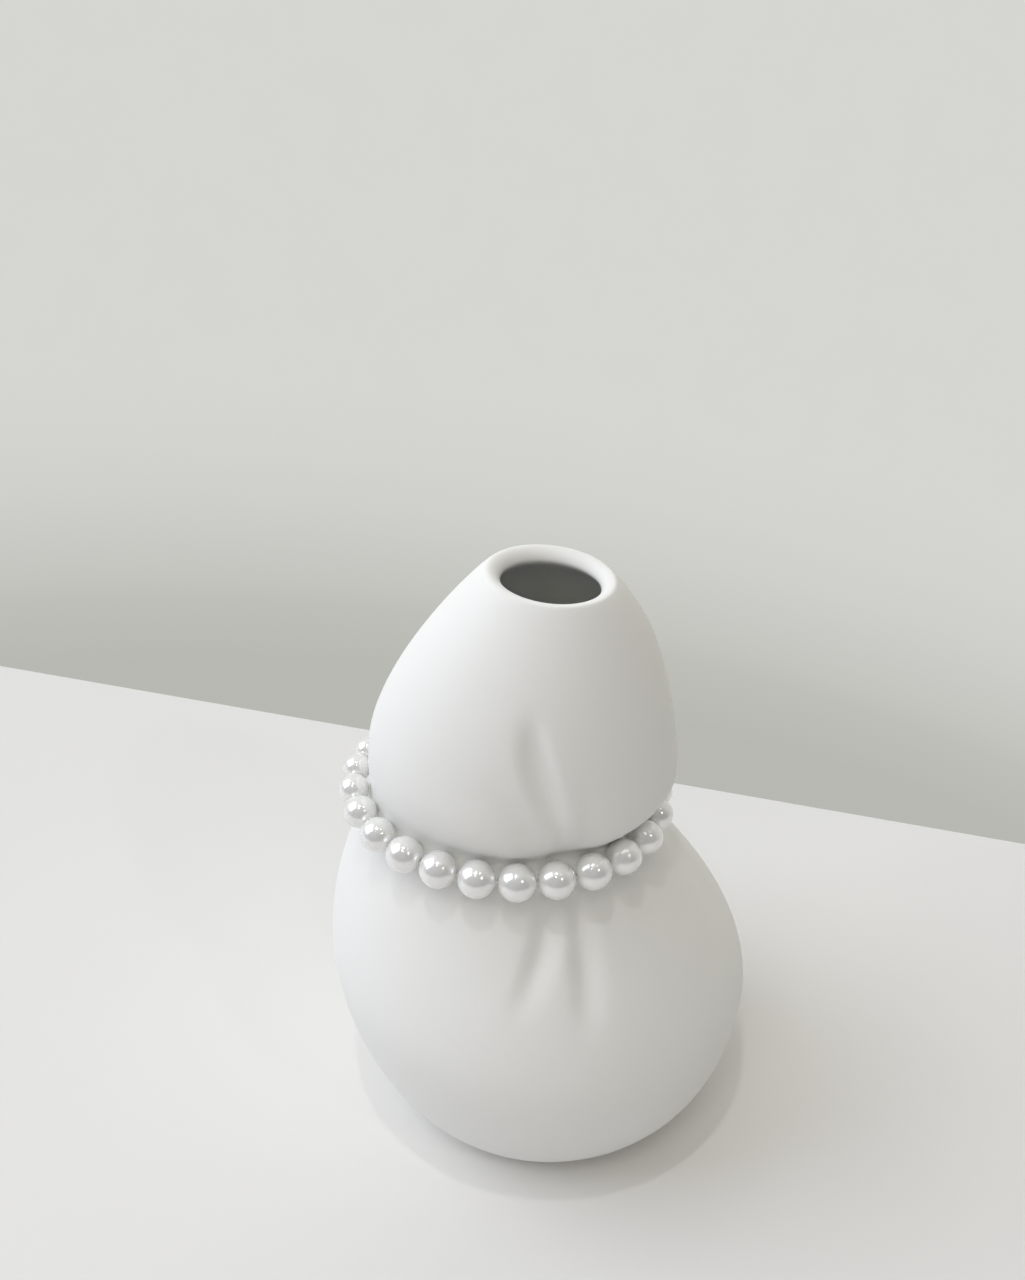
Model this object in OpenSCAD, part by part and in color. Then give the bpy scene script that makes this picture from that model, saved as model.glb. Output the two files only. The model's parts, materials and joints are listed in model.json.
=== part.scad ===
// Gourd vase of slip-cast ceramic, squeezed at the waist by a clasped string of round pearls.
// The front of the vase faces -Y, its right side faces +X and it stands on Z = 0.
// Bearings run round the vase from the front (0) to the right side (90).

/* [Lower lobe] */
// Full width of the lower lobe
belly_w = 142.4; // [120:0.2:165]
// Height of the widest place of the lower lobe
belly_h = 57.4; // [48:0.2:64]
// Front-to-back depth of the lower lobe, as a share of its width
belly_depth_share = 0.97; // [0.85:0.01:1]
// Slope of the widest line, down to the right, in degrees
belly_slope = 7; // [0:0.1:8]
// Width of the foot
foot_w = 86; // [60:1:92]
// Sideways offset of the foot from the middle of the lobe
foot_shift = -1; // [-10:0.5:4]
// Width of the foot's standing ring
foot_ring_w = 7; // [5:0.5:12]
// Height of the hollow under the foot
foot_recess_h = 1.6; // [0.8:0.1:2.5]

/* [Waist] */
// Height of the waist
waist_h = 129; // [115:0.5:140]
// Sideways offset of the waist from the middle of the lower lobe
waist_shift = -11.5; // [-14:0.5:0]
// Front-to-back depth of the string of pearls, as a share of its width
string_depth_share = 0.805; // [0.75:0.005:1]
// Slope of the waist, down to the right, in degrees
waist_slope = 4.4; // [0:0.1:6]
// Slope of the waist, down to the front, in degrees
waist_dip = 4.6; // [0:0.1:6]
// Room between the pearls and the waist
seat_gap = 0.5; // [0.2:0.05:0.8]

/* [Upper lobe] */
// Full width of the upper lobe
shoulder_w = 96.2; // [94:0.2:115]
// Height of the widest place of the upper lobe above the waist
shoulder_rise = 20.5; // [15:0.5:30]
// Sideways offset of the upper lobe from the middle of the lower lobe
shoulder_shift = -6; // [-12:0.5:4]
// Front-to-back depth of the upper lobe, as a share of its width
shoulder_depth_share = 0.81; // [0.76:0.01:0.95]
// Height of the whole vase at the middle of its mouth
vase_h = 209.8; // [195:0.2:230]

/* [Creases] */
// Length of the longest crease that the string presses into the clay
crease_len = 64; // [40:1:70]
// Depth of the deepest crease
crease_depth = 4.2; // [0:0.1:5]
// Width of the widest crease, from its bottom to one side
crease_side_w = 12; // [8:0.5:16]

/* [Mouth] */
// Width of the opening
mouth_w = 29.2; // [22:0.1:36]
// Front-to-back depth of the opening, as a share of its width
mouth_depth_share = 0.84; // [0.75:0.01:1]
// Sideways offset of the opening from the middle of the lower lobe
mouth_shift = 1.7; // [-6:0.1:6]
// Slope of the rim, down to the right, in degrees
mouth_slope = 6.4; // [0:0.1:9]
// Radius of the rolled lip
lip_r = 4.3; // [3.5:0.1:6]

/* [Ceramic] */
// Thickness of the wall
wall_t = 4.4; // [3.4:0.1:5.5]
// Thickness of the floor
floor_t = 6; // [4:0.1:9]

/* [Pearls] */
// Diameter of the front pearl, the largest
pearl_front_d = 12; // [11:0.1:13]
// Diameter of the pearls beside the clasp, the smallest
pearl_back_d = 7.3; // [6.5:0.1:9]
// Loss of diameter per squared step away from the front pearl
pearl_step_loss = 0.06; // [0.04:0.005:0.08]
// Pearls on each side of the front pearl
pearl_pairs = 13; // [11:1:14]
// Bearing of the front pearl, in degrees
front_pearl_bearing = 4; // [-5:0.5:5]
// Gap between neighbouring pearls
pearl_gap = 0.3; // [0.15:0.05:0.5]

/* [Thread] */
// Diameter of the thread
thread_d = 0.9; // [0.6:0.05:1]
// Room round the thread in each bore, on the radius
bore_gap = 0.1; // [0.1:0.01:0.12]
// Diameter of the end knots
knot_d = 1.8; // [1.5:0.1:2]

/* [Clasp] */
// Outer diameter of the bead tips
tip_d = 3.2; // [3:0.1:4]
// Wall of the bead tips
tip_wall = 0.4; // [0.3:0.05:0.5]
// Mean radius of the bead tips' loops
loop_r = 0.95; // [0.9:0.05:1.2]
// Wire diameter of the bead tips' loops
loop_wire_d = 0.5; // [0.4:0.05:0.55]
// Mean radius of the clasp's eye
eye_r = 1; // [0.95:0.05:1.2]
// Wire diameter of the clasp's eye and of the jump ring
ring_wire_d = 0.7; // [0.6:0.05:0.75]
// Mean radius of the jump ring
jump_ring_r = 1.5; // [1.4:0.05:1.8]
// Outer radius of the clasp's claw
claw_r = 2.6; // [2.5:0.05:2.9]
// Radius of the space inside the claw
claw_hole_r = 1.5; // [1.4:0.05:1.6]
// Thickness of the clasp
claw_t = 1.8; // [1.6:0.1:2.2]
// Thickness of the lever
lever_t = 0.8; // [0.6:0.05:1]
// Diameter of the lever's pin
pin_d = 0.6; // [0.5:0.05:0.7]

/* [Hidden] */
// Every piece; pearls are numbered from the clasp round the front and back to the clasp
pearl_n = 2 * pearl_pairs + 1;
function pearl_name(k) = str("pearl_", k < 10 ? "0" : "", k);
fixed_names = ["vase_body", "thread", "bead_tip_left", "bead_tip_right", "clasp_body",
    "clasp_lever", "clasp_pin", "clasp_spring", "jump_ring"];

// Bends of the profile curves, as shares of each stretch, for the left and the right side
foot_out_shares = [0.2, 0.84];
belly_below_shares = [0.49, 0.21];
belly_above_shares = [0.48, 0.355];
shoulder_below_shares = [0.22, 0.8];
shoulder_above_shares = [0.345, 0.57];
rim_share = 0.06;
// Radius of the groove at the waist, wider than the front pearl
groove_r = 0.625 * pearl_front_d;

// Creases: bearings at the waist and at the tip, lengths upwards (or downwards, below zero),
// depths, widths to the left and to the right, and how far along each one is deepest
crease_bearings = [[24, -6], [29, 13], [21, -2], [22, -12], [27, 18], [102, 82], [88, 94]];
crease_len_shares = [-0.67, -0.77, 0.87, 0.47, 0.5, -1, 1];
crease_depth_shares = [0.86, 0.86, 1, 0.6, 0.52, 0.45, 0.4];
crease_left_shares = [0.56, 0.5, 0.52, 0.92, 0.67, 1, 1];
crease_right_shares = [0.58, 0.58, 0.42, 0.92, 0.67, 0.67, 0.67];
crease_peak_shares = [0.58, 0.64, 0.76, 0.6, 0.4, 0.65, 0.75];
// Rounding of a crease's bottom, as a share of its width to that side, and of its brows
crease_soft_share = 0.2;
crease_brow_power = 1.4;
// Depth of a crease at the waist, as a share of its full depth
crease_start_share = 0.16;
// How far a crease runs on past the waist, as a share of its length
crease_past_share = 0.15;

// Points round the vase, drawn together at the front, where the creases are, and led along them
body_sides = 88;
front_crowding = 0.56;
crowding_bearing = 22;
crowding_turn = 36;
crowding_run = 45;
// Places of the rings along the four stretches of the outer wall and of the inner wall
outer_counts = [7, 22, 6, 15];
lip_steps = 5;
inner_shares = [[0.15, 0.45], [0, 0.3, 0.55, 0.8], [0, 0.5], [0.05, 0.25, 0.42, 0.58, 0.72]];

// Fineness of round pieces
round_fn = 72;
wire_fn = 32;
ring_fn = 64;

function mix(a, b, t) = a + (b - a) * t;
function ease(t) = t * t * (3 - 2 * t);
function clamp(t) = max(0, min(1, t));
function bez(p, t) = pow(1 - t, 3) * p[0] + 3 * pow(1 - t, 2) * t * p[1]
    + 3 * (1 - t) * t * t * p[2] + pow(t, 3) * p[3];
function bez_way(p, t) = 3 * pow(1 - t, 2) * (p[1] - p[0]) + 6 * (1 - t) * t * (p[2] - p[1])
    + 3 * t * t * (p[3] - p[2]);
function unit_right(v) = [v.y, -v.x] / norm(v);

// Pearl sizes, counted in steps from the front pearl
function pearl_d(i) = max(pearl_back_d, pearl_front_d - pearl_step_loss * i * i);
function pearl_pitch(i) = pearl_d(i) + pearl_gap;

// Clasp layout along its own line, from the left end of the string to the right end
link_gap = 0.03;
claw_neck_l = 1.05;
claw_hole_shift = 0.15;
rest_angle = -42;
loop_hole_r = loop_r - loop_wire_d / 2;
tip_left_x = pearl_gap / 2 + tip_d / 2;
loop_off = tip_d / 2 + loop_r - loop_wire_d / 4;
eye_x = tip_left_x + loop_off + loop_hole_r - link_gap - ring_wire_d / 2 + eye_r;
claw_x = eye_r + ring_wire_d / 2 + claw_neck_l + claw_r;
rest_r = claw_hole_r - link_gap - ring_wire_d / 2;
rest = [claw_x + claw_hole_shift + rest_r * cos(rest_angle), rest_r * sin(rest_angle)];
clasp_tilt = -atan2(rest.y, rest.x);
jump_ring_x = eye_x + norm(rest) + jump_ring_r;
tip_right_x = jump_ring_x + jump_ring_r - ring_wire_d / 2 - link_gap + loop_hole_r + loop_off;
clasp_span = tip_right_x + tip_d / 2 + pearl_gap / 2;

// The string's oval line: its half width is the one at which pearls and clasp close the round
function line_pt(a, t) = [a * sin(t), -a * string_depth_share * cos(t)];
function step_along(a, t, way, len, lo = 0, hi = 60, n = 26) =
    let (m = (lo + hi) / 2)
    n == 0 ? t + way * m
    : norm(line_pt(a, t + way * m) - line_pt(a, t)) < len ? step_along(a, t, way, len, m, hi, n - 1)
    : step_along(a, t, way, len, lo, m, n - 1);
function chain(a, t, way, i = 1, found = []) =
    i > pearl_pairs ? concat(found, [t])
    : chain(a, step_along(a, t, way, pearl_pitch(i)), way, i + 1, concat(found, [t]));
function first_right(a) = step_along(a, front_pearl_bearing, 1, pearl_pitch(0) / 2);
function first_left(a) = step_along(a, first_right(a), -1, pearl_pitch(0));
function open_span(a) =
    let (r = chain(a, first_right(a), 1), l = chain(a, first_left(a), -1))
    let (tr = r[pearl_pairs], tl = l[pearl_pairs])
    sign(360 - tr + tl) * norm(line_pt(a, tr) - line_pt(a, tl));
function fitted_half_width(lo, hi, n = 30) =
    let (m = (lo + hi) / 2)
    n == 0 ? m
    : open_span(m) < clasp_span ? fitted_half_width(m, hi, n - 1)
    : fitted_half_width(lo, m, n - 1);
function total(v, i = 0) = i < len(v) ? v[i] + total(v, i + 1) : 0;
string_len = clasp_span + total([for (i = [-pearl_pairs:pearl_pairs]) pearl_pitch(i)]);
line_a = fitted_half_width(string_len / 8, string_len / 4);
line_b = line_a * string_depth_share;
right_ts = chain(line_a, first_right(line_a), 1);
left_ts = chain(line_a, first_left(line_a), -1);

// The waist is as wide as the string allows; pearls sit a little inside the oval line, and
// the line lies off the waist's middle, towards its larger pearls
function sag(i, bend_r) = pow(pearl_pitch(i), 2) / (8 * bend_r);
function pearl_r(i) = pearl_d(i) / 2;
side_i = pearl_pairs / 2;
right_r = pearl_r(side_i - 1);
left_r = pearl_r(side_i);
front_r = pearl_r(0);
back_r = pearl_r(pearl_pairs);
waist_half_w = line_a - (right_r + left_r) / 2 - sag(side_i, line_b * line_b / line_a) - seat_gap;
waist_half_d = line_b - (front_r + back_r) / 2 - sag(0, line_a * line_a / line_b) - seat_gap;
string_x = (right_r - left_r) / 2;
string_y = (back_r - front_r) / 2;

// Reach of a station from the axis and its height, on the left (0) and on the right (1)
function way_of(side) = 2 * side - 1;
function reach(w, shift, side) = w / 2 + way_of(side) * shift;
function tilted(h, half, slope, side) = h - way_of(side) * half * tan(slope);
shoulder_h = waist_h + shoulder_rise;
rim_half_w = mouth_w / 2 + lip_r;
function foot_at(side) = [reach(foot_w, foot_shift, side), 0];
function belly_at(side) = [reach(belly_w, 0, side), tilted(belly_h, belly_w / 2, belly_slope, side)];
function waist_at(side) = [reach(2 * waist_half_w, waist_shift, side),
    tilted(waist_h, waist_half_w, waist_slope, side)];
function shoulder_at(side) = [reach(shoulder_w, shoulder_shift, side), shoulder_h];
function rim_at(side) = [reach(2 * rim_half_w, mouth_shift, side),
    tilted(vase_h, rim_half_w, mouth_slope, side)];
// Handle that gives the groove its radius, for the run out to the lobe
function groove_handle(run) = sqrt(2 * max(run, groove_r) * groove_r / 3);

// The four stretches of the outer profile, as control points
function stretch(i, side) =
    let (f = foot_at(side), b = belly_at(side), w = waist_at(side), s = shoulder_at(side), r = rim_at(side))
    i == 0 ? [f, [mix(f.x, b.x, foot_out_shares[side]), 0], [b.x, b.y * (1 - belly_below_shares[side])], b]
    : i == 1 ? [b, [b.x, mix(b.y, w.y, belly_above_shares[side])], [w.x, w.y - groove_handle(b.x - w.x)], w]
    : i == 2 ? [w, [w.x, w.y + groove_handle(s.x - w.x)],
        [s.x, mix(s.y, w.y, shoulder_below_shares[side])], s]
    : [s, [s.x, mix(s.y, r.y, shoulder_above_shares[side])], [mix(r.x, s.x, rim_share), r.y], r];
// Depth of the plan as a share of its width, at the five stations
rim_depth_share = (mouth_depth_share * mouth_w / 2 + lip_r) / rim_half_w;
depth_shares = [belly_depth_share, belly_depth_share, waist_half_d / waist_half_w,
    shoulder_depth_share, rim_depth_share];

// A ring is [sideways shift, half width, half depth, height at the sides, height at front and back, roll, dip]
function ring_at(i, t, inset = 0) =
    let (pl = stretch(i, 0), pr = stretch(i, 1), l = bez(pl, t), r = bez(pr, t))
    let (wl = bez_way(pl, t), wr = bez_way(pr, t))
    let (k = mix(depth_shares[i], depth_shares[i + 1], ease(t)))
    let (front_way = [k * (wl.x + wr.x) / 2 + (depth_shares[i + 1] - depth_shares[i]) * 6 * t * (1 - t)
        * (l.x + r.x) / 2, (wl.y + wr.y) / 2])
    let (li = l - inset * unit_right(wl), ri = r - inset * unit_right(wr))
    let (fi = [k * (l.x + r.x) / 2, (l.y + r.y) / 2] - inset * unit_right(front_way))
    let (near_waist = i == 1 ? ease(t) : i == 2 ? 1 - ease(t) : 0)
    [(ri.x - li.x) / 2, (ri.x + li.x) / 2, fi.x, (li.y + ri.y) / 2, fi.y, (ri.y - li.y) / 2,
        near_waist * fi.x * tan(waist_dip)];
function flat_ring(shift, half_w, half_d, z) = [shift, half_w, half_d, z, z, 0, 0];
function lip_ring(q) =
    let (out = lip_r * (1 - sin(q)), half_w = mouth_w / 2 + out)
    [mouth_shift, half_w, mouth_depth_share * mouth_w / 2 + out, vase_h - lip_r * (1 - cos(q)),
        vase_h - lip_r * (1 - cos(q)), -half_w * tan(mouth_slope), 0];

// Depth of one crease at a bearing, for a height over the waist and a distance from the axis
function crease_at(n, bearing, dz, r) =
    let (s = dz / (crease_len * crease_len_shares[n]), way = crease_bearings[n])
    let (x = (bearing - mix(way[0], way[1], s)) * PI / 180 * r)
    let (w = crease_side_w * (x < 0 ? crease_left_shares[n] : crease_right_shares[n]))
    let (v = norm([x / w, crease_soft_share]), peak = crease_peak_shares[n])
    s <= -crease_past_share || s >= 1 || v >= 1 ? 0
    : crease_depth * crease_depth_shares[n] * pow((1 - v) / (1 - crease_soft_share), crease_brow_power)
        * (s < 0 ? crease_start_share * (1 + s / crease_past_share)
        : s < peak ? mix(crease_start_share, 1, ease(s / peak)) : 1 - ease((s - peak) / (1 - peak)));
function creased(bearing, dz, r) =
    total([for (n = [0:len(crease_bearings) - 1]) crease_at(n, bearing, dz, r)]);

function bearing_at(j, ring) =
    let (off = min(crowding_run, abs((ring[3] + ring[4]) / 2 - waist_h)))
    let (u = 360 * j / body_sides, c0 = crowding_bearing - crowding_turn * off / crowding_run)
    let (b = u - front_crowding * 180 / PI * sin(u - c0))
    b > 180 ? b - 360 : b;
function ring_point(ring, bearing) =
    let (s = sin(bearing), c = cos(bearing))
    let (z = mix(ring[3], ring[4], c * c) + ring[5] * s - ring[6] * c)
    let (dz = z - waist_h + waist_half_w * tan(waist_slope) * s + waist_half_d * tan(waist_dip) * c)
    let (in = creased(bearing, dz, (ring[1] + ring[2]) / 2))
    [ring[0] + (ring[1] - in) * s, -(ring[2] - in) * c, z];

foot_in_w = foot_w / 2 - foot_ring_w;
foot_up_w = foot_in_w - foot_recess_h;
floor_inset_share = 0.35;
function inner_inset(i, t) = i == 0 ? mix(floor_t, wall_t, clamp(t / floor_inset_share)) : wall_t;
outer_rings = [for (i = [0:3]) for (n = [0:outer_counts[i] - 1]) ring_at(i, n / outer_counts[i])];
lip_rings = [for (n = [0:lip_steps]) lip_ring(90 * n / lip_steps)];
inner_rings = [for (i = [3:-1:0]) for (n = [len(inner_shares[i]) - 1:-1:0])
    ring_at(i, inner_shares[i][n], inner_inset(i, inner_shares[i][n]))];
foot_rings = [
    flat_ring(foot_shift, foot_up_w, foot_up_w * belly_depth_share, foot_recess_h),
    flat_ring(foot_shift, foot_in_w, foot_in_w * belly_depth_share, 0)
];
body_rings = concat(foot_rings, outer_rings, lip_rings, inner_rings);

module vase_body() {
    last = len(body_rings) - 1;
    ring_points = [for (ring = body_rings) for (j = [0:body_sides - 1])
        ring_point(ring, bearing_at(j, ring))];
    points = concat(ring_points, [[foot_shift, 0, foot_recess_h], [foot_shift, 0, floor_t]]);
    under = len(ring_points);
    inside = under + 1;
    function at(n, j) = n * body_sides + j % body_sides;
    sides = [for (n = [0:last - 1]) for (j = [0:body_sides - 1]) for (f = [0, 1])
        f == 0 ? [at(n, j), at(n + 1, j), at(n + 1, j + 1)] : [at(n, j), at(n + 1, j + 1), at(n, j + 1)]];
    bottom = [for (j = [0:body_sides - 1]) [under, at(0, j), at(0, j + 1)]];
    floor_in = [for (j = [0:body_sides - 1]) [at(last, j), inside, at(last, j + 1)]];
    color("whitesmoke")
        polyhedron(points, concat(sides, bottom, floor_in), convexity = 10);
}

// Everything on the string lies in the waist's own tilted plane
module in_string() {
    translate([waist_shift + string_x, string_y, waist_h])
        rotate([waist_dip, waist_slope, 0])
            children();
}

// Ends of the straight run of thread through each pearl, counted from the front pearl
function run_ends(i) =
    i == 0 ? [line_pt(line_a, left_ts[0]), line_pt(line_a, right_ts[0])]
    : i > 0 ? [line_pt(line_a, right_ts[i - 1]), line_pt(line_a, right_ts[i])]
    : [line_pt(line_a, left_ts[-i]), line_pt(line_a, left_ts[-i - 1])];

module between(ends) {
    mid = (ends[0] + ends[1]) / 2;
    way = ends[1] - ends[0];
    translate([mid.x, mid.y, 0])
        rotate([0, 0, atan2(way.y, way.x)])
            children();
}

module rod(d, len) {
    rotate([0, 90, 0])
        cylinder(d = d, h = len, center = true, $fn = wire_fn);
}

bore_d = thread_d + 2 * bore_gap;

module pearl(i) {
    color("ivory")
        in_string()
            between(run_ends(i))
                rotate([0, 90, 0])
                    difference() {
                        sphere(d = pearl_d(i), $fn = round_fn);
                        cylinder(d = bore_d, h = 2 * pearl_d(i), center = true, $fn = wire_fn);
                    }
}

// The thread is straight in each pearl and turns in a small swelling between them
turn_share = 1.12;
left_end = line_pt(line_a, left_ts[pearl_pairs]);
right_end = line_pt(line_a, right_ts[pearl_pairs]);

module at_point(p) {
    translate([p.x, p.y, 0])
        children();
}

// A ball with its poles on the thread's line, at a distance along it
module ball(d, x) {
    translate([x, 0, 0])
        rotate([0, 90, 0])
            sphere(d = d, $fn = wire_fn);
}

module thread() {
    turn_d = thread_d * turn_share;
    color("white")
        in_string() {
            for (i = [-pearl_pairs:pearl_pairs])
                between(run_ends(i)) {
                    rod(thread_d, pearl_pitch(i));
                    ball(turn_d, pearl_pitch(i) / 2);
                }
            in_clasp() {
                ball(turn_d, 0);
                for (x = [tip_left_x, tip_right_x])
                    ball(knot_d, x);
                for (x = [tip_left_x / 2, (tip_right_x + clasp_span) / 2])
                    translate([x, 0, 0])
                        rod(thread_d, tip_left_x);
            }
        }
}

// Clasp parts share a frame that starts at the left end of the string and points to the right end
module in_clasp() {
    way = right_end - left_end;
    at_point(left_end)
        rotate([0, 0, atan2(way.y, way.x)])
            children();
}

module wire_ring(r, d) {
    rotate_extrude($fn = ring_fn)
        translate([r, 0])
            circle(d = d, $fn = wire_fn);
}

// A hollow cup that holds the end knot, with a loop on its far side
module bead_tip(loop_turn) {
    difference() {
        union() {
            ball(tip_d, 0);
            translate([loop_off, 0, 0])
                rotate([loop_turn, 0, 0])
                    wire_ring(loop_r, loop_wire_d);
        }
        ball(tip_d - 2 * tip_wall, 0);
        translate([-tip_d / 2, 0, 0])
            rod(bore_d + tip_wall, tip_d);
    }
}

module bead_tip_left() {
    color("silver")
        in_string()
            in_clasp()
                translate([tip_left_x, 0, 0])
                    bead_tip(0);
}

module bead_tip_right() {
    color("silver")
        in_string()
            in_clasp()
                translate([tip_right_x, 0, 0])
                    rotate([0, 0, 180])
                        bead_tip(90);
}

// The claw: an eye, a neck that widens, and a hooked ring that the lever closes
slot_gap = 0.05;
pin_gap = 0.03;
leaf_gap = 0.1;
pin_bearing = 115;
gate_from = -5;
gate_to = 100;
lever_to = 122;
pin_r = (claw_hole_r + claw_r) / 2;
pin_at = [claw_x + pin_r * cos(pin_bearing), pin_r * sin(pin_bearing)];
boss_r = (claw_r - claw_hole_r) / 2;
slot_r = 1.8 * boss_r;
lever_reach = 2 * pin_r * sin(47);
lever_in_r = claw_hole_r + slot_gap;
lever_out_r = claw_r - 0.6 * boss_r;
claw_bevel = (claw_t - lever_t) / 2;
eye_neck_share = 0.6;

// Turns a flat shape of the clasp's side view into a plate of thickness t
module upright(t) {
    rotate([90, 0, 0])
        linear_extrude(height = t, center = true)
            children();
}

module clasp_frame() {
    in_string()
        in_clasp()
            translate([eye_x, 0, 0])
                rotate([0, -clasp_tilt, 0])
                    children();
}

module wedge(from, to, r) {
    polygon(concat([[0, 0]], [for (n = [0:6]) r * [cos(mix(from, to, n / 6)), sin(mix(from, to, n / 6))]]));
}

// A cone that opens a hole towards one face, or rounds a disc towards it
module bevel(r_in, r_out) {
    for (way = [-1, 1])
        translate([0, way * (claw_t / 2 - claw_bevel), 0])
            rotate([-90 * way, 0, 0])
                cylinder(r1 = r_in, r2 = r_out, h = claw_bevel, $fn = ring_fn);
}

module claw_plate() {
    translate([claw_x, 0, 0]) {
        rotate([90, 0, 0])
            cylinder(r = claw_r, h = claw_t - 2 * claw_bevel, center = true, $fn = ring_fn);
        bevel(claw_r, claw_r - claw_bevel / 2);
    }
    neck_from = eye_r - ring_wire_d / 4;
    neck_to = claw_x - claw_r / 2;
    neck_h = claw_r * 0.82;
    upright(claw_t - claw_bevel)
        polygon([[neck_from, -eye_neck_share * eye_r], [neck_to, -neck_h], [neck_to, neck_h],
            [neck_from, eye_neck_share * eye_r]]);
    rotate([90, 0, 0])
        wire_ring(eye_r, ring_wire_d);
}

module clasp_body() {
    color("silver")
        clasp_frame()
            difference() {
                claw_plate();
                translate([claw_x + claw_hole_shift, 0, 0]) {
                    rotate([90, 0, 0])
                        cylinder(r = claw_hole_r, h = 2 * claw_t, center = true, $fn = ring_fn);
                    bevel(claw_hole_r, claw_hole_r + claw_bevel);
                }
                upright(2 * claw_t)
                    intersection() {
                        translate([claw_x, 0])
                            wedge(gate_from, gate_to, 2 * claw_r);
                        translate(pin_at)
                            circle(r = lever_reach + slot_gap, $fn = ring_fn);
                    }
                translate([pin_at.x, 0, pin_at.y])
                    rotate([90, 0, 0]) {
                        cylinder(r = slot_r, h = lever_t + 2 * slot_gap, center = true, $fn = wire_fn);
                        cylinder(d = pin_d, h = 2 * claw_t, center = true, $fn = wire_fn);
                    }
            }
}

module clasp_lever() {
    color("silver")
        clasp_frame()
            difference() {
                upright(lever_t) {
                    intersection() {
                        translate([claw_x, 0])
                            difference() {
                                circle(r = lever_out_r, $fn = ring_fn);
                                circle(r = lever_in_r, $fn = ring_fn);
                            }
                        translate([claw_x, 0])
                            wedge(gate_from, lever_to, 2 * claw_r);
                        translate(pin_at)
                            circle(r = lever_reach, $fn = ring_fn);
                    }
                    translate(pin_at)
                        circle(r = boss_r, $fn = wire_fn);
                    translate([claw_x, 0])
                        rotate(gate_to)
                            translate([lever_out_r + boss_r / 2, 0])
                                circle(r = boss_r, $fn = wire_fn);
                }
                translate([pin_at.x, 0, pin_at.y])
                    rotate([90, 0, 0])
                        cylinder(r = pin_d / 2 + pin_gap, h = claw_t, center = true, $fn = wire_fn);
            }
}

module clasp_pin() {
    color("gray")
        clasp_frame()
            translate([pin_at.x, 0, pin_at.y])
                rotate([90, 0, 0])
                    cylinder(d = pin_d, h = claw_t, center = true, $fn = wire_fn);
}

// A leaf that curls round the lever's boss inside the slot and pushes the lever shut
module clasp_spring() {
    leaf_in_r = boss_r + leaf_gap;
    leaf_out_r = slot_r - leaf_gap;
    color("gray")
        clasp_frame()
            translate([pin_at.x, 0, pin_at.y])
                upright(lever_t - slot_gap)
                    difference() {
                        circle(r = leaf_out_r, $fn = wire_fn);
                        circle(r = leaf_in_r, $fn = wire_fn);
                        wedge(-75, 112, 2 * slot_r);
                    }
}

module jump_ring() {
    color("silver")
        in_string()
            in_clasp()
                translate([jump_ring_x, 0, 0])
                    wire_ring(jump_ring_r, ring_wire_d);
}

vase_body();
thread();
bead_tip_left();
bead_tip_right();
clasp_body();
clasp_lever();
clasp_pin();
clasp_spring();
jump_ring();
for (k = [1:pearl_n])
    pearl(k - pearl_pairs - 1);
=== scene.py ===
"""A gourd vase of slip-cast ceramic, squeezed at the waist by a clasped string of pearls.

Everything is in metres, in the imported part's frame: the vase stands on Z = 0, its creased
front faces -Y and its right side faces +X.
"""

import json
import math

import bpy
from mathutils import Matrix, Vector

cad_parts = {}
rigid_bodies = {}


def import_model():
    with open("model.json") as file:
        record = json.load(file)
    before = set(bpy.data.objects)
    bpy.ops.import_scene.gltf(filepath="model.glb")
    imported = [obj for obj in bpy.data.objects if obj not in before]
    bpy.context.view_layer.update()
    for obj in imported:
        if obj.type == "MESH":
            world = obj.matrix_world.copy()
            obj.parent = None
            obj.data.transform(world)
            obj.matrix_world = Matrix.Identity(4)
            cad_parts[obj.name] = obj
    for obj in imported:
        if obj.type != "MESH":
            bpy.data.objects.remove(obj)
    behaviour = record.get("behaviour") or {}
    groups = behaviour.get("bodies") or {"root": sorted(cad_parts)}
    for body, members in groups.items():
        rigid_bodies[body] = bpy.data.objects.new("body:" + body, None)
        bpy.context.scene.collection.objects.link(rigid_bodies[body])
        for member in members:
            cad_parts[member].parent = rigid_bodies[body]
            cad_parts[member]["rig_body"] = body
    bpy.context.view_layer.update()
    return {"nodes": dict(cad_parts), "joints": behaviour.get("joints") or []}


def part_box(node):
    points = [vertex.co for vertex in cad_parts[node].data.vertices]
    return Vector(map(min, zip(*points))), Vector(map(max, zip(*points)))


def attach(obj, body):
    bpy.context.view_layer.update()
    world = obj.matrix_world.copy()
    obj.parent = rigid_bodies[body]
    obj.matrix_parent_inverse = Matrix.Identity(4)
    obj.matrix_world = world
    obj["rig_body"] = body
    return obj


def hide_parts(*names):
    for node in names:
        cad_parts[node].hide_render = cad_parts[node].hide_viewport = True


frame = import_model()

MM = 0.001

# Camera, taken from the photograph
IMAGE_WIDTH_PX = 1025
IMAGE_FOCAL_PX = 1500
SENSOR_WIDTH_MM = 36
CAMERA_PLACE = Vector((-9.5, -368.0, 444.2)) * MM
CAMERA_PITCH_DOWN = 35.0

# The table's back edge, as two points on its top
TABLE_EDGE_LEFT = Vector((-268.0, 244.5, 0.0)) * MM
TABLE_EDGE_RIGHT = Vector((212.2, 113.3, 0.0)) * MM
TABLE_LENGTH = 2.6
TABLE_DEPTH = 1.7
TABLE_THICKNESS = 28 * MM
TABLE_EDGE_ROUND = 1.2 * MM
TABLE_EDGE_STEPS = 3

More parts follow.
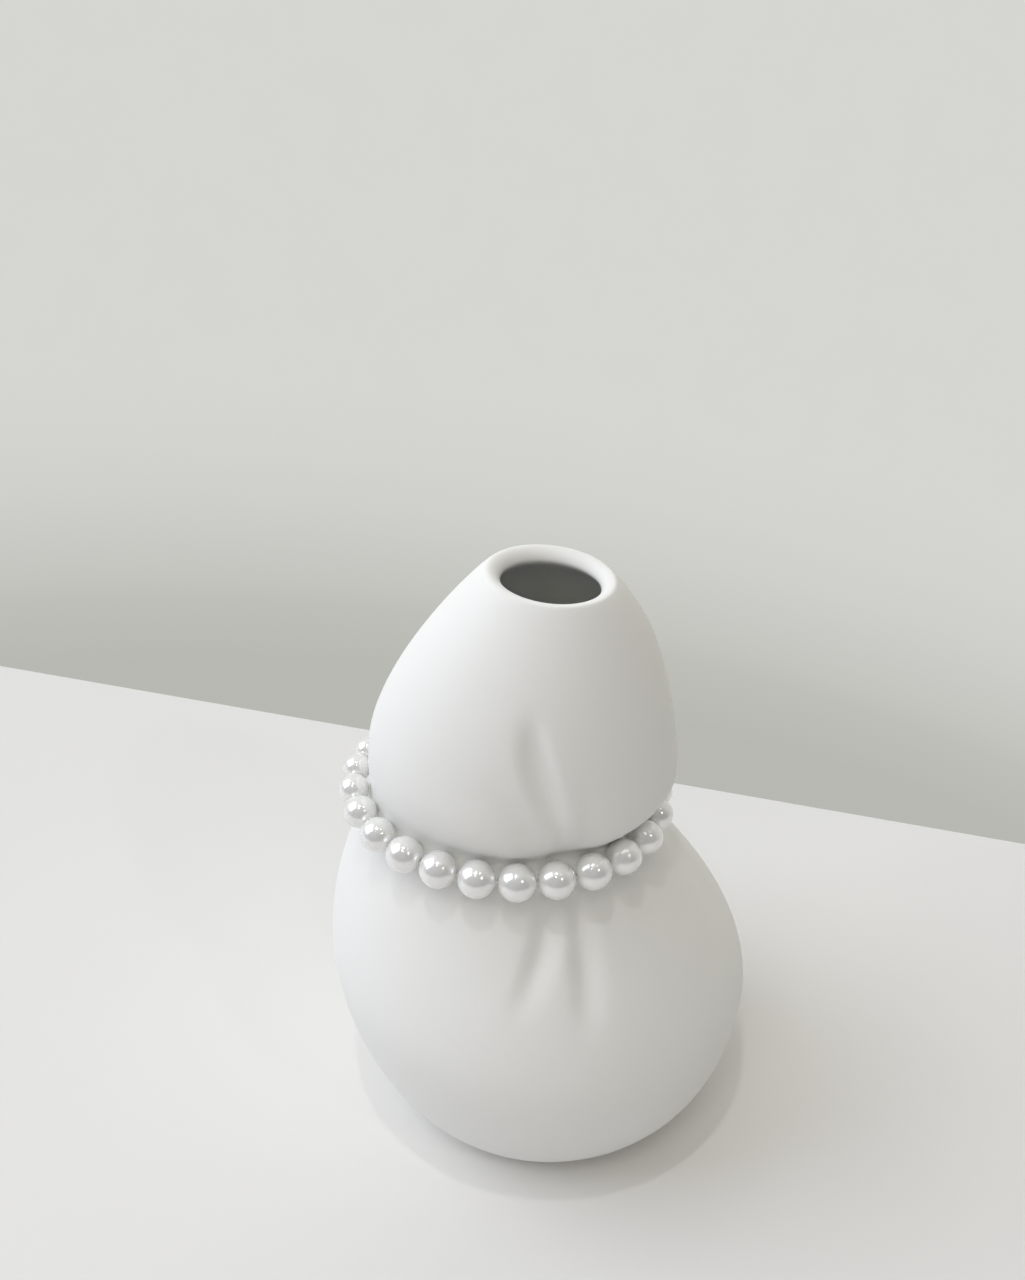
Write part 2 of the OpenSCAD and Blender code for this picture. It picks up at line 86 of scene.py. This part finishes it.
# Lights: a wide window to the left, a pale ceiling in front and small ceiling lamps
WINDOW_WAY = (-0.74, 0.065, 0.669)
WINDOW_WATTS = 194.0
WINDOW_COLOUR = (0.87, 0.92, 1.0)
CEILING_WAY = (-0.1, -0.55, 0.83)
CEILING_WATTS = 104.0
CEILING_COLOUR = (1.0, 0.96, 0.76)
PANEL_DISTANCE = 6.0
PANEL_SIZE = 5.0
SPOT_WAYS = [
    (-0.075, -0.156, 0.985), (-0.126, -0.452, 0.885), (0.348, -0.19, 0.917), (0.498, -0.538, 0.682)]
SPOT_WATTS = [3.6, 0.8, 0.6, 1.4]
SPOT_COLOUR = (1.0, 0.985, 0.96)
SPOT_DISTANCE = 2.0
SPOT_SIZE = 0.06
LAMP_TARGET = Vector((0, 0, 100)) * MM

# Light that the room's walls give back, by direction
ROOM_EVEN = (0.105, 0.09, 0.06)
ROOM_ABOVE = (0.02, 0.03, 0.12)
ROOM_LEFT = (0.22, 0.23, 0.32)
ROOM_BEHIND = (1.0, 1.0, 0.86)

# The wall that the camera sees, by its height and a little by its side, with painted shade: darker low
# down near the table and towards the left; mirrors see a darker near side
WALL_TILT = 0.13
WALL_LOW = -0.6
WALL_HIGH = -0.44
NEAR_SIDE_TONE = (0.26, 0.26, 0.26, 1)
NEAR_FROM = 0.3
NEAR_TO = -0.45
WALL_MOTTLE_SIZE = 0.03
WALL_MOTTLE_DEPTH = 0.07
WALL_MOTTLE_TONE = (0.5, 0.5, 0.475, 1)
SHADED_WALL_TONES = [
    (0.0, (0.48, 0.48, 0.45, 1)), (0.21, (0.521, 0.521, 0.491, 1)), (0.29, (0.558, 0.558, 0.527, 1)),
    (0.56, (0.624, 0.631, 0.597, 1)), (0.78, (0.658, 0.665, 0.63, 1)), (1.0, (0.672, 0.679, 0.644, 1))]

# The upper lobe's fold over the string, and the plane that the string lies in
STRING_HEIGHT = 129 * MM
STRING_SHIFT = -11.5 * MM
STRING_SLOPE = math.tan(math.radians(4.4))
STRING_DIP = math.tan(math.radians(4.6))
FOLD_START = 3.9 * MM
FOLD_SPAN = 25 * MM
FOLD_SWELL = 2.5 * MM
FOLD_EARLY_POWER = 0.55
FOLD_LEFT_LOSS = 0.75

# Pearl model
PEARL_SEGMENTS = 64
PEARL_RINGS = 40
PEARL_SMOOTH_ANGLE = math.radians(50)

# Metal parts: how far their edges are softened
EDGES = {
    "bead_tip_left": 0.03 * MM, "bead_tip_right": 0.03 * MM, "clasp_body": 0.08 * MM,
    "clasp_lever": 0.08 * MM, "jump_ring": 0.02 * MM}
EDGE_STEPS = 2
EDGE_ANGLE = math.radians(40)
METAL_SMOOTH_ANGLE = math.radians(35)
WIRE_SMOOTH_ANGLE = math.radians(40)
THREAD_SMOOTH_ANGLE = math.radians(50)

# Shell model: how far two triangles may bend and lean and still join into a quad
QUAD_BEND = math.radians(40)
QUAD_LEAN = math.radians(60)
MERGE_DISTANCE = 0.001 * MM

# Metal colours where they are polished and where they are rubbed, and their least roughness
SILVER_BRIGHT = (0.86, 0.86, 0.85, 1)
SILVER_DULL = (0.74, 0.74, 0.73, 1)
SILVER_ROUGHNESS = 0.12
STEEL_BRIGHT = (0.62, 0.62, 0.61, 1)
STEEL_DULL = (0.5, 0.5, 0.49, 1)
STEEL_ROUGHNESS = 0.25

# Grain of the finishes: sizes of their blotches and depths of their bumps
CLOUD_SIZE = 42 * MM
GRAIN_SIZE = 0.9 * MM
SPECK_SPACING = 3.1 * MM
RIPPLE_SIZE = 9 * MM
CERAMIC_DEPTH = 0.06 * MM
BARE_FOOT_FROM = 0.4 * MM
BARE_FOOT_TO = 2.2 * MM
NACRE_SIZE = 7 * MM
NACRE_FINE_SIZE = 0.5 * MM
NACRE_DEPTH = 0.02 * MM
FIBRE_SIZE = 0.22 * MM
FIBRE_DEPTH = 0.06 * MM
METAL_MARK_SIZE = 0.35 * MM
METAL_DEPTH = 0.02 * MM
PAINT_PATCH_SIZE = 120 * MM
PAINT_STIPPLE_SIZE = 2.5 * MM
PAINT_DEPTH = 0.05 * MM


# Modelling helpers

def deselect_all():
    if bpy.context.object and bpy.context.object.mode != "OBJECT":
        bpy.ops.object.mode_set(mode="OBJECT")
    bpy.ops.object.select_all(action="DESELECT")


def make_active(piece):
    deselect_all()
    piece.select_set(True)
    bpy.context.view_layer.objects.active = piece


def edit(piece):
    make_active(piece)
    bpy.ops.object.mode_set(mode="EDIT")


def leave_edit():
    bpy.ops.object.mode_set(mode="OBJECT")


def apply_modifier(piece, kind, **settings):
    make_active(piece)
    modifier = piece.modifiers.new(kind.title(), kind)
    for name, value in settings.items():
        setattr(modifier, name, value)
    bpy.ops.object.modifier_apply(modifier=modifier.name)


def copy_of_node(node, name):
    """A new piece on a merged copy of a CAD node's mesh."""
    piece = bpy.data.objects.new(name, frame["nodes"][node].data.copy())
    bpy.context.scene.collection.objects.link(piece)
    piece.data.materials.clear()
    edit(piece)
    bpy.ops.mesh.select_all(action="SELECT")
    bpy.ops.mesh.remove_doubles(threshold=MERGE_DISTANCE)
    leave_edit()
    if piece.data.has_custom_normals:
        bpy.ops.mesh.customdata_custom_splitnormals_clear()
    return piece


def place_mesh(piece, matrix):
    """Puts a piece's place in its mesh, so that the object stays at the origin."""
    piece.data.transform(matrix)
    piece.data.update()


def dress(piece, material):
    piece.data.materials.clear()
    piece.data.materials.append(material)


def stand_for(piece, node):
    """The piece takes a CAD node's place, on the node's own body."""
    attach(piece, frame["nodes"][node]["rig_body"])
    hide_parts(node)


# Material helpers

class Socket:
    """A node's output on which arithmetic adds Math nodes."""

    def __init__(self, tree, output):
        self.tree = tree
        self.output = output

    def math(self, operation, other, swapped=False):
        pair = (other, self) if swapped else (self, other)
        return self.tree.node("ShaderNodeMath", {"operation": operation}, {0: pair[0], 1: pair[1]})

    def __add__(self, other):
        return self.math("ADD", other)

    def __sub__(self, other):
        return self.math("SUBTRACT", other)

    def __mul__(self, other):
        return self.math("MULTIPLY", other)

    def __truediv__(self, other):
        return self.math("DIVIDE", other)

    def __radd__(self, other):
        return self.math("ADD", other, True)

    def __rsub__(self, other):
        return self.math("SUBTRACT", other, True)

    def __rmul__(self, other):
        return self.math("MULTIPLY", other, True)

    def __rtruediv__(self, other):
        return self.math("DIVIDE", other, True)


class Tree:
    """A node tree that is filled by one method."""

    def __init__(self, owner):
        owner.use_nodes = True
        self.nodes = owner.node_tree.nodes
        self.links = owner.node_tree.links
        self.nodes.clear()

    def node(self, kind, settings=None, inputs=None, output=0):
        made = self.nodes.new(kind)
        for name, value in (settings or {}).items():
            if name == "stops":
                fill_ramp(made.color_ramp, value)
            else:
                setattr(made, name, value)
        for name, value in (inputs or {}).items():
            if isinstance(value, Socket):
                self.links.new(value.output, made.inputs[name])
            else:
                made.inputs[name].default_value = value
        return Socket(self, made.outputs[output]) if made.outputs else made

    def mix(self, factor, first, second):
        """A colour between two colours."""
        return self.node("ShaderNodeMix", {"data_type": "RGBA"}, {0: factor, 6: first, 7: second}, 2)


def fill_ramp(ramp, stops):
    while len(ramp.elements) < len(stops):
        ramp.elements.new(0.5)
    for element, (place, colour) in zip(ramp.elements, stops):
        element.position = place
        element.color = colour


def grey(value):
    return (value, value, value, 1)


def surface(tree, **inputs):
    """The closing shader and output of a material."""
    values = {name.replace("_", " "): value for name, value in inputs.items()}
    shader = tree.node("ShaderNodeBsdfPrincipled", {}, values)
    tree.node("ShaderNodeOutputMaterial", {}, {"Surface": shader})


def new_material(name):
    material = bpy.data.materials.new(name)
    return material, Tree(material)


def noise(tree, place, size, detail=2.0, roughness=0.5):
    """Noise whose blotches are about the given size, in metres."""
    return tree.node("ShaderNodeTexNoise", {}, {
        "Vector": place, "Scale": 1 / size, "Detail": detail, "Roughness": roughness})


def bumped(tree, strength, depth, height):
    return tree.node("ShaderNodeBump", {}, {"Strength": strength, "Distance": depth, "Height": height})


# Materials

def ceramic_material():
    """Burnished white slip: hardly any grain, a soft sheen and a bare, duller standing ring."""
    material, tree = new_material("satin_ceramic")
    place = tree.node("ShaderNodeTexCoord", {}, {}, 3)
    clouds = noise(tree, place, CLOUD_SIZE, 3)
    grain = noise(tree, place, GRAIN_SIZE, 4, 0.6)
    specks = tree.node("ShaderNodeTexVoronoi", {}, {"Vector": place, "Scale": 1 / SPECK_SPACING})
    speck_stops = [(0.05, grey(1)), (0.09, grey(0))]
    speck_mask = tree.node("ShaderNodeValToRGB", {"stops": speck_stops}, {0: specks})
    height = tree.node("ShaderNodeSeparateXYZ", {}, {0: place}, 2)
    foot_mask = tree.node("ShaderNodeMapRange", {}, {
        0: height, 1: BARE_FOOT_FROM, 2: BARE_FOOT_TO, 3: 1.0, 4: 0.0})
    slip = tree.mix(clouds, (0.858, 0.862, 0.843, 1), (0.89, 0.894, 0.876, 1))
    slip = tree.mix(grain * 0.12, slip, (0.79, 0.785, 0.765, 1))
    slip = tree.mix(speck_mask * 0.1, slip, (0.62, 0.6, 0.56, 1))
    slip = tree.mix(foot_mask * 0.6, slip, (0.72, 0.7, 0.66, 1))
    gloss = 0.5 + clouds * 0.1 + grain * 0.05 + foot_mask * 0.3
    ripple = noise(tree, place, RIPPLE_SIZE, 2)
    relief = ripple * 0.7 + grain * 0.16 - speck_mask * 0.1
    bump = bumped(tree, 0.35, CERAMIC_DEPTH, relief)
    surface(tree, Base_Color=slip, Roughness=gloss, Normal=bump, IOR=1.46)
    return material


def pearl_material():
    """Lacquered imitation pearl: a soft silvery glow under a hard clear coat."""
    material, tree = new_material("pearl_lacquer")
    place = tree.node("ShaderNodeTexCoord", {}, {}, 3)
    tint = noise(tree, place, NACRE_SIZE, 2)
    fine = noise(tree, place, NACRE_FINE_SIZE, 3)
    nacre = tree.mix(tint, (0.93, 0.922, 0.91, 1), (0.92, 0.93, 0.925, 1))
    nacre = tree.mix(fine * 0.15, nacre, (0.8, 0.79, 0.78, 1))
    gloss = 0.16 + fine * 0.08
    bump = bumped(tree, 0.1, NACRE_DEPTH, fine)
    surface(tree, Base_Color=nacre, Roughness=gloss, Metallic=0.46, Normal=bump, IOR=1.6,
            Coat_Weight=1.0, Coat_Roughness=0.03)
    return material


def thread_material():
    """Waxed white beading thread."""
    material, tree = new_material("beading_thread")
    place = tree.node("ShaderNodeTexCoord", {}, {}, 3)
    fibre = noise(tree, place, FIBRE_SIZE, 5, 0.7)
    cotton = tree.mix(fibre, (0.86, 0.84, 0.79, 1), (0.7, 0.67, 0.61, 1))
    bump = bumped(tree, 0.7, FIBRE_DEPTH, fibre)
    surface(tree, Base_Color=cotton, Roughness=0.65 + fibre * 0.2, Normal=bump)
    return material


def plated_material(name, bright, dull, roughness):
    """Plated metal with fine tumbling marks."""
    material, tree = new_material(name)
    place = tree.node("ShaderNodeTexCoord", {}, {}, 3)
    marks = noise(tree, place, METAL_MARK_SIZE, 4, 0.65)
    colour = tree.mix(marks, bright, dull)
    bump = bumped(tree, 0.15, METAL_DEPTH, marks)
    surface(tree, Base_Color=colour, Roughness=roughness + marks * 0.12, Metallic=1.0, Normal=bump)
    return material


def table_material():
    """Painted white table top, with the faint mottling of a roller."""
    material, tree = new_material("painted_table")
    place = tree.node("ShaderNodeTexCoord", {}, {}, 3)
    patches = noise(tree, place, PAINT_PATCH_SIZE, 3)
    stipple = noise(tree, place, PAINT_STIPPLE_SIZE, 3)
    paint = tree.mix(patches, (0.765, 0.76, 0.75, 1), (0.79, 0.786, 0.773, 1))
    bump = bumped(tree, 0.2, PAINT_DEPTH, stipple)
    surface(tree, Base_Color=paint, Roughness=0.5 + stipple * 0.12, Normal=bump)
    return material


# Pieces

def swell_fold(shell):
    """Rounds the upper lobe's underside out over the pearls."""
    for vertex in shell.data.vertices:
        way = Vector((vertex.co.x - STRING_SHIFT, vertex.co.y, 0))
        string = STRING_HEIGHT + way.y * STRING_DIP - way.x * STRING_SLOPE
        rise = (vertex.co.z - string - FOLD_START) / FOLD_SPAN
        if 0 < rise < 1:
            way.normalize()
            swell = FOLD_SWELL * (1 - FOLD_LEFT_LOSS * max(0, -way.x))
            vertex.co += way * swell * math.sin(math.pi * rise ** FOLD_EARLY_POWER)


def make_ceramic_shell(material):
    """The vase's shell: the CAD surface in even quads, smoothed once."""
    shell = copy_of_node("vase_body", "ceramic_shell")
    swell_fold(shell)
    edit(shell)
    bpy.ops.mesh.select_all(action="SELECT")
    bpy.ops.mesh.tris_convert_to_quads(face_threshold=QUAD_BEND, shape_threshold=QUAD_LEAN)
    leave_edit()
    apply_modifier(shell, "SUBSURF", levels=1, render_levels=1)
    bpy.ops.object.shade_smooth()
    dress(shell, material)
    stand_for(shell, "vase_body")


def model_pearl(radius):
    """A smooth ball without a bore, its poles along Z and its middle at the origin."""
    deselect_all()
    bpy.ops.mesh.primitive_uv_sphere_add(
        segments=PEARL_SEGMENTS, ring_count=PEARL_RINGS, radius=radius, location=(0, 0, 0))
    ball = bpy.context.object
    bpy.ops.object.shade_smooth_by_angle(angle=PEARL_SMOOTH_ANGLE)
    return ball


def make_pearls(material):
    """One ball per pearl node, its poles on the CAD pearl's bore; equal sizes share a model."""
    models = {}
    for joint in frame["joints"]:
        node = joint["child"]
        if not node.startswith("pearl_"):
            continue
        low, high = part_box(node)
        radius = round(max(high - low) / 2, 5)
        if radius not in models:
            models[radius] = model_pearl(radius)
        pearl = bpy.data.objects.new("bored_" + node, models[radius].data.copy())
        bpy.context.scene.collection.objects.link(pearl)
        turn = Vector(joint["axis"]).to_track_quat("Z", "Y").to_matrix().to_4x4()
        place_mesh(pearl, Matrix.Translation(Vector(joint["pos_m"])) @ turn)
        dress(pearl, material)
        stand_for(pearl, node)
    for model in models.values():
        bpy.data.objects.remove(model)


def make_fitting(node, material, edge):
    """A small metal part with its edges softened."""
    fitting = copy_of_node(node, node.replace("_", "-") + "-finished")
    apply_modifier(fitting, "BEVEL", width=edge, segments=EDGE_STEPS,
                   limit_method="ANGLE", angle_limit=EDGE_ANGLE)
    make_active(fitting)
    bpy.ops.object.shade_smooth_by_angle(angle=METAL_SMOOTH_ANGLE)
    dress(fitting, material)
    stand_for(fitting, node)


def dress_node(node, material, angle):
    """A CAD node keeps its shape and gets a finish."""
    piece = frame["nodes"][node]
    dress(piece, material)
    make_active(piece)
    bpy.ops.object.shade_smooth_by_angle(angle=angle)


# Stage

def make_table(material):
    along = TABLE_EDGE_RIGHT - TABLE_EDGE_LEFT
    turn = math.atan2(along.y, along.x)
    middle = (TABLE_EDGE_LEFT + TABLE_EDGE_RIGHT) / 2
    deselect_all()
    bpy.ops.mesh.primitive_cube_add(size=1)
    table = bpy.context.object
    table.name = "table_top"
    place = (Matrix.Translation(middle) @ Matrix.Rotation(turn, 4, "Z")
             @ Matrix.Translation((0, -TABLE_DEPTH / 2, -TABLE_THICKNESS / 2))
             @ Matrix.Diagonal((TABLE_LENGTH, TABLE_DEPTH, TABLE_THICKNESS, 1)))
    place_mesh(table, place)
    apply_modifier(table, "BEVEL", width=TABLE_EDGE_ROUND, segments=TABLE_EDGE_STEPS)
    dress(table, material)


def add_area_light(name, way, distance, width, height, watts, colour):
    lamp = bpy.data.lights.new(name, "AREA")
    lamp.shape = "RECTANGLE"
    lamp.size = width
    lamp.size_y = height
    lamp.energy = watts
    lamp.color = colour
    holder = bpy.data.objects.new(name, lamp)
    bpy.context.scene.collection.objects.link(holder)
    way = Vector(way).normalized()
    holder.location = LAMP_TARGET + way * distance
    holder.rotation_euler = way.to_track_quat("Z", "Y").to_euler()
    return holder


def light_room():
    add_area_light("window_light", WINDOW_WAY, PANEL_DISTANCE, PANEL_SIZE, PANEL_SIZE,
                   WINDOW_WATTS, WINDOW_COLOUR)
    ceiling = add_area_light("ceiling_glow", CEILING_WAY, PANEL_DISTANCE, PANEL_SIZE, PANEL_SIZE,
                             CEILING_WATTS, CEILING_COLOUR)
    ceiling.visible_glossy = False
    for number, (way, watts) in enumerate(zip(SPOT_WAYS, SPOT_WATTS), 1):
        add_area_light(f"ceiling_lamp_{number}", way, SPOT_DISTANCE, SPOT_SIZE, SPOT_SIZE,
                       watts, SPOT_COLOUR)


def glow(tree, colour, amount):
    return tree.node("ShaderNodeBackground", {}, {0: colour + (1,), 1: amount})


def make_world():
    """The room's soft light, brighter behind and left; the camera and mirrors see its walls."""
    world = bpy.data.worlds.new("room")
    bpy.context.scene.world = world
    tree = Tree(world)
    way = tree.node("ShaderNodeTexCoord", {}, {}, 0)
    side, depth, rise = (tree.node("ShaderNodeSeparateXYZ", {}, {0: way}, part) for part in range(3))
    room = glow(tree, ROOM_EVEN, 1.0)
    for colour, part in ((ROOM_ABOVE, rise), (ROOM_LEFT, side * -1), (ROOM_BEHIND, depth)):
        more = glow(tree, colour, part.math("MAXIMUM", 0.0))
        room = tree.node("ShaderNodeAddShader", {}, {0: room, 1: more})
    # Painted shade on the wall: its tone darkens low down, near the table, and a little towards the
    # left
    height = rise + side * WALL_TILT
    span = tree.node("ShaderNodeMapRange", {}, {0: height, 1: WALL_LOW, 2: WALL_HIGH, 3: 0.0, 4: 1.0})
    wall = tree.node("ShaderNodeValToRGB", {"stops": SHADED_WALL_TONES}, {0: span})
    plaster = noise(tree, way, WALL_MOTTLE_SIZE, 4, 0.6)
    wall = tree.mix(plaster * WALL_MOTTLE_DEPTH, wall, WALL_MOTTLE_TONE)
    camera_ray = tree.node("ShaderNodeLightPath", {}, {}, 0)
    rays = camera_ray.output.node.outputs
    mirror_ray = Socket(tree, rays["Is Glossy Ray"])
    nearness = tree.node("ShaderNodeMapRange", {}, {0: depth, 1: NEAR_FROM, 2: NEAR_TO, 3: 0.0, 4: 1.0})
    wall = tree.mix(nearness * mirror_ray, wall, NEAR_SIDE_TONE)
    shown = tree.node("ShaderNodeBackground", {}, {0: wall, 1: 1.0})
    through_ray = Socket(tree, rays["Is Transmission Ray"])
    seen = camera_ray.math("MAXIMUM", mirror_ray).math("MAXIMUM", through_ray)
    both = tree.node("ShaderNodeMixShader", {}, {0: seen, 1: room, 2: shown})
    tree.node("ShaderNodeOutputWorld", {}, {0: both})


def add_camera():
    data = bpy.data.cameras.new("camera")
    data.sensor_fit = "HORIZONTAL"
    data.sensor_width = SENSOR_WIDTH_MM
    data.lens = SENSOR_WIDTH_MM * IMAGE_FOCAL_PX / IMAGE_WIDTH_PX
    data.clip_start = 10 * MM
    camera = bpy.data.objects.new("camera", data)
    bpy.context.scene.collection.objects.link(camera)
    camera.location = CAMERA_PLACE
    camera.rotation_euler = (math.radians(90 - CAMERA_PITCH_DOWN), 0, 0)
    bpy.context.scene.camera = camera


# The scene

def main():
    bpy.context.scene.view_settings.view_transform = "Standard"
    silver = plated_material("silver_plate", SILVER_BRIGHT, SILVER_DULL, SILVER_ROUGHNESS)
    steel = plated_material("spring_steel", STEEL_BRIGHT, STEEL_DULL, STEEL_ROUGHNESS)
    add_camera()
    make_ceramic_shell(ceramic_material())
    make_pearls(pearl_material())
    dress_node("thread", thread_material(), THREAD_SMOOTH_ANGLE)
    for node, edge in EDGES.items():
        make_fitting(node, silver, edge)
    dress_node("clasp_pin", steel, WIRE_SMOOTH_ANGLE)
    dress_node("clasp_spring", steel, WIRE_SMOOTH_ANGLE)
    make_table(table_material())
    light_room()
    make_world()


main()
